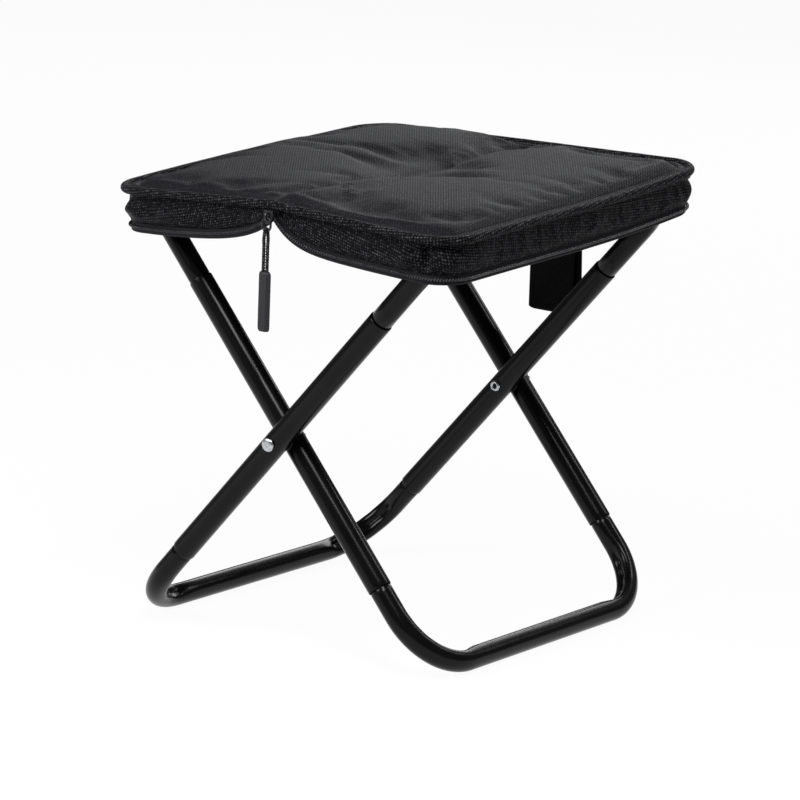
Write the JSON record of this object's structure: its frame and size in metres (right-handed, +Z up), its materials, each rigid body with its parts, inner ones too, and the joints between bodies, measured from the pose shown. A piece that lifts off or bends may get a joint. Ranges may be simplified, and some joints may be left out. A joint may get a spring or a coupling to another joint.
{
  "type": "folding stool",
  "caption": "Folding stool on two crossed tube frames, with a flat soft seat that zips up into a carry bag.",
  "frame": {"origin": "on the floor, at the middle of the stool's footprint, seat open", "axes": "+Z up; +Y along the foot bars; +X towards the foot bar of the front frame, whose top bar is at -X"},
  "size_m": [0.3076, 0.329, 0.337],
  "materials": {
    "coated_steel": "gloss",
    "zinc_steel": "satin",
    "nylon": "matte",
    "oxford_cloth": "woven",
    "webbing": "woven",
    "zip_tape": "woven",
    "zip_coil": "satin",
    "black_metal": "satin",
    "braided_cord": "braided",
    "moulded_rubber": "matte"
  },
  "bodies": {
    "front_frame": {"front_middle_tube_near": "coated_steel", "front_middle_tube_far": "coated_steel", "front_seat_tube": "coated_steel", "pivot_rivet_near": "zinc_steel", "pivot_rivet_far": "zinc_steel", "pivot_washer_near": "nylon", "pivot_washer_far": "nylon"},
    "front_foot": {"front_foot_tube": "coated_steel"},
    "rear_frame": {"rear_middle_tube_near": "coated_steel", "rear_middle_tube_far": "coated_steel", "rear_seat_tube": "coated_steel", "bar_sleeve_right": "oxford_cloth"},
    "rear_foot": {"rear_foot_tube": "coated_steel"},
    "seat_left": {"seat_panel_left": "oxford_cloth", "piping_left": "oxford_cloth", "gusset_left": "oxford_cloth", "zip_tape_left": "zip_tape", "zip_coil_left": "zip_coil", "bar_sleeve_left": "oxford_cloth", "zip_slider": "black_metal"},
    "seat_right": {"seat_panel_right": "oxford_cloth", "piping_right": "oxford_cloth", "gusset_right": "oxford_cloth", "zip_tape_right": "zip_tape", "zip_coil_right": "zip_coil", "handle_anchor": "webbing"},
    "zip_pull": {"pull_loop": "black_metal", "pull_cord": "braided_cord", "pull_tab": "moulded_rubber"},
    "handle": {"carry_handle": "webbing"}
  },
  "joints": [
    {"name": "fold", "type": "hinge", "parent": "front_frame", "child": "rear_frame", "pos_m": [0, 0, 0.1525], "axis": [0, -1, 0], "range_deg": [0, 76.3]},
    {"name": "seat_left_fold", "type": "hinge", "parent": "front_frame", "child": "seat_left", "pos_m": [-0.1379, 0, 0.31002], "axis": [0, -1, 0], "range_deg": [0, 120], "deforming": ["gusset_left", "zip_tape_left", "zip_coil_left"]},
    {"name": "crease_fold", "type": "hinge", "parent": "seat_left", "child": "seat_right", "pos_m": [0, 0, 0.31982], "axis": [0, -1, 0], "range_deg": [-163, 0], "deforming": ["gusset_right", "zip_tape_right", "zip_coil_right"]},
    {"name": "front_foot_slide", "type": "slide", "parent": "front_frame", "child": "front_foot", "axis": [0.6587, 0, -0.7524], "range_m": [0, 0.04]},
    {"name": "rear_foot_slide", "type": "slide", "parent": "rear_frame", "child": "rear_foot", "axis": [-0.6587, 0, -0.7524], "range_m": [0, 0.04]},
    {"name": "pull_swing", "type": "hinge", "parent": "seat_left", "child": "zip_pull", "pos_m": [0, -0.1615, 0.31452], "axis": [-1, 0, 0], "range_deg": [0, 150]},
    {"name": "handle_swing", "type": "hinge", "parent": "seat_right", "child": "handle", "pos_m": [0.0225, 0.1624, 0.31682], "axis": [1, 0, 0], "range_deg": [0, 150]}
  ],
  "couplings": [
    {"joint": "seat_left_fold", "follows": "fold", "ratio": 1.5654},
    {"joint": "crease_fold", "follows": "fold", "ratio": -2.1308}
  ]
}
